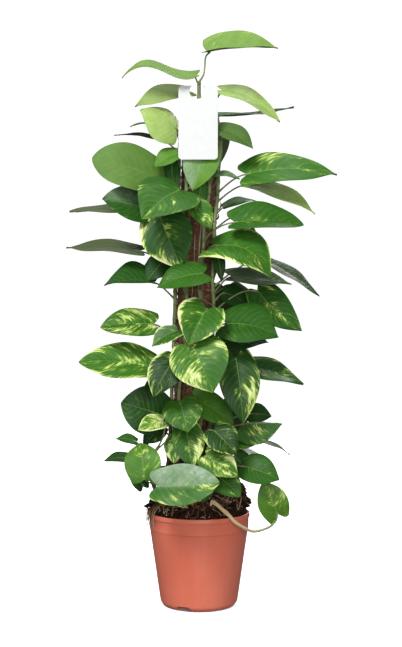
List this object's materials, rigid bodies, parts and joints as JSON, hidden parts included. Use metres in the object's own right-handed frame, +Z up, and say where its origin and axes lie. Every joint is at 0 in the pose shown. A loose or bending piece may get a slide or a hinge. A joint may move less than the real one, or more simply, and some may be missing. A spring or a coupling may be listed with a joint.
{
  "type": "potted climbing plant",
  "caption": "Pothos with heart-shaped variegated leaves climbing a coir pole in a tapered terracotta-coloured nursery pot, with a blank hang tag.",
  "frame": {"origin": "middle of the pot's foot on the surface that it stands on, which is also the middle of the bottom of the whole plant's box to a few millimetres", "axes": "+Z up along the pot's axis, -Y towards the front, where the tag hangs, +X to the right as seen from the front"},
  "size_m": [0.4513, 0.2971, 0.9519],
  "materials": {
    "terracotta_plastic": "satin",
    "potting_soil": "rough",
    "stake_wood": "rough",
    "coir": "fibrous",
    "tag_card": "satin",
    "pothos_leaf": "waxy"
  },
  "bodies": {
    "root": {"pot": "terracotta_plastic", "soil": "potting_soil", "pole_core": "stake_wood", "coir_pole": "coir", "hang_tag": "tag_card", "vine_left": "pothos_leaf", "vine_front_left": "pothos_leaf", "vine_front_right": "pothos_leaf", "vine_right": "pothos_leaf", "vine_back_right": "pothos_leaf", "vine_back_left": "pothos_leaf", "shoot_left": "pothos_leaf", "runner_right": "pothos_leaf"}
  },
  "joints": []
}
